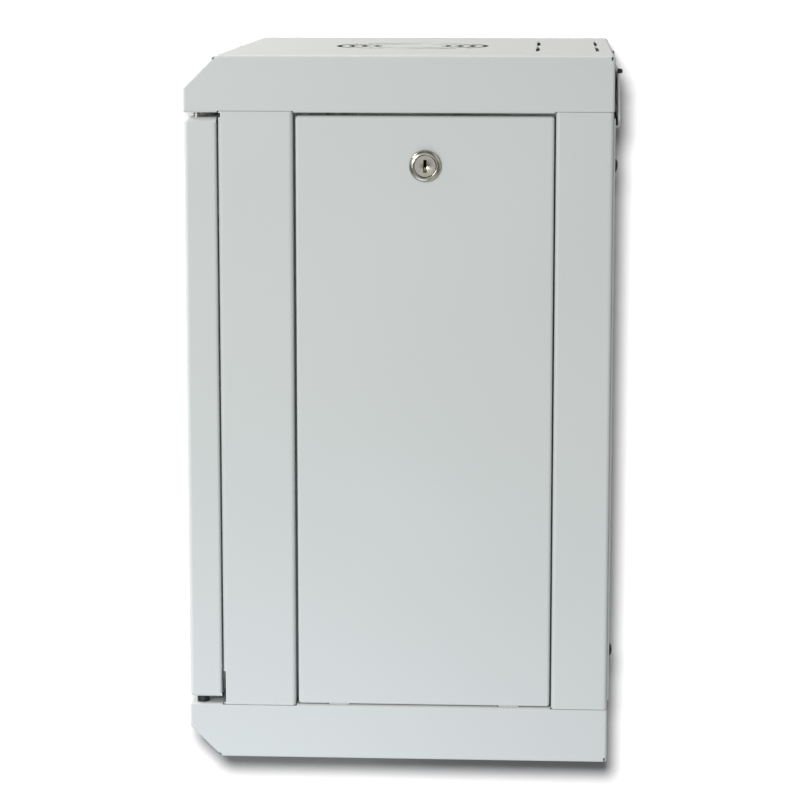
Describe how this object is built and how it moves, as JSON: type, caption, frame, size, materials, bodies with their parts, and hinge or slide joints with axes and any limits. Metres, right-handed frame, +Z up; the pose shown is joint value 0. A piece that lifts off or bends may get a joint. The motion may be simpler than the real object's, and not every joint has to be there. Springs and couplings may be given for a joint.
{
  "type": "wall mount network cabinet",
  "caption": "Light grey sheet-steel wall cabinet for 10-inch network equipment, with a glass door, lockable side panels, sliding rack rails and a hook-on wall bracket.",
  "frame": {"origin": "middle of the bounding box's base, on the surface that the bottom cover stands on", "axes": "+X towards the right side with the door hinge, -Y towards the front door, +Z up"},
  "size_m": [0.3176, 0.2962, 0.4845],
  "materials": {
    "light_grey_coating": "light grey powder coating, satin, fine texture",
    "zinc_plated_steel": "zinc plated, dull",
    "bright_steel": "bright turned steel",
    "chrome_plate": "chrome plated zinc casting",
    "black_steel": "black oxide, satin",
    "black_rubber": "matt black rubber",
    "black_plastic": "black nylon",
    "clear_glass": "clear toughened glass with ground edges"
  },
  "bodies": {
    "cabinet": {"top_cover": "light_grey_coating", "bottom_cover": "light_grey_coating", "rear_panel": "light_grey_coating", "rear_panel_screws": "black_steel", "wall_bracket": "light_grey_coating", "bracket_buffer": "black_rubber", "frame_studs": "zinc_plated_steel", "frame_nuts": "zinc_plated_steel", "door_pads": "black_rubber", "lower_hinge_pin": "zinc_plated_steel", "lower_hinge_bush": "black_plastic", "front_post_right": "light_grey_coating", "rear_post_right": "light_grey_coating", "upper_depth_bar_right": "zinc_plated_steel", "lower_depth_bar_right": "zinc_plated_steel", "panel_ledge_right": "light_grey_coating", "side_strike_right": "light_grey_coating", "front_post_left": "light_grey_coating", "rear_post_left": "light_grey_coating", "upper_depth_bar_left": "zinc_plated_steel", "lower_depth_bar_left": "zinc_plated_steel", "panel_ledge_left": "light_grey_coating", "side_strike_left": "light_grey_coating"},
    "door": {"door_frame": "light_grey_coating", "door_glass": "clear_glass", "glass_gasket": "black_rubber", "glass_clips": "zinc_plated_steel", "clip_screws": "zinc_plated_steel", "upper_hinge_bracket": "zinc_plated_steel", "hinge_spring": "bright_steel", "door_lock_housing": "chrome_plate", "door_lock_nut": "zinc_plated_steel"},
    "door_lock": {"door_lock_plug": "chrome_plate", "door_lock_cam": "zinc_plated_steel", "door_lock_screw": "zinc_plated_steel"},
    "hinge_pin": {"upper_hinge_pin": "bright_steel"},
    "right_panel": {"side_panel_right": "light_grey_coating", "side_lock_housing_right": "chrome_plate", "side_lock_nut_right": "zinc_plated_steel"},
    "right_panel_lock": {"side_lock_plug_right": "chrome_plate", "side_lock_cam_right": "zinc_plated_steel", "side_lock_screw_right": "zinc_plated_steel"},
    "right_rail": {"rack_rail_right": "zinc_plated_steel", "rail_bolts_right": "zinc_plated_steel", "rail_nuts_right": "zinc_plated_steel"},
    "left_panel": {"side_panel_left": "light_grey_coating", "side_lock_housing_left": "chrome_plate", "side_lock_nut_left": "zinc_plated_steel"},
    "left_panel_lock": {"side_lock_plug_left": "chrome_plate", "side_lock_cam_left": "zinc_plated_steel", "side_lock_screw_left": "zinc_plated_steel"},
    "left_rail": {"rack_rail_left": "zinc_plated_steel", "rail_bolts_left": "zinc_plated_steel", "rail_nuts_left": "zinc_plated_steel"}
  },
  "joints": [
    {"name": "door_hinge", "type": "hinge", "parent": "cabinet", "child": "door", "pos_m": [0.1494, -0.13685, 0.24225], "axis": [0, 0, 1], "range_deg": [0, 180]},
    {"name": "door_lock_turn", "type": "hinge", "parent": "door", "child": "door_lock", "pos_m": [-0.13336, -0.14515, 0.24225], "axis": [0, 1, 0], "range_deg": [0, 90]},
    {"name": "hinge_pin_slide", "type": "slide", "parent": "door", "child": "hinge_pin", "axis": [0, 0, -1], "range_m": [0, 0.007], "stiffness_N_per_m": 400, "springref_m": -0.004, "deforming": ["hinge_spring"]},
    {"name": "right_panel_tilt", "type": "hinge", "parent": "cabinet", "child": "right_panel", "pos_m": [0.1557, 0.01667, 0.038], "axis": [0, 1, 0], "range_deg": [0, 30]},
    {"name": "right_panel_lock_turn", "type": "hinge", "parent": "right_panel", "child": "right_panel_lock", "pos_m": [0.1558, 0.01717, 0.4111], "axis": [1, 0, 0], "range_deg": [0, 90]},
    {"name": "right_rail_slide", "type": "slide", "parent": "cabinet", "child": "right_rail", "axis": [0, 1, 0], "range_m": [0, 0.1]},
    {"name": "left_panel_tilt", "type": "hinge", "parent": "cabinet", "child": "left_panel", "pos_m": [-0.1557, 0.01667, 0.038], "axis": [0, -1, 0], "range_deg": [0, 30]},
    {"name": "left_panel_lock_turn", "type": "hinge", "parent": "left_panel", "child": "left_panel_lock", "pos_m": [-0.1558, 0.01717, 0.4111], "axis": [1, 0, 0], "range_deg": [0, 90]},
    {"name": "left_rail_slide", "type": "slide", "parent": "cabinet", "child": "left_rail", "axis": [0, 1, 0], "range_m": [0, 0.1]}
  ]
}
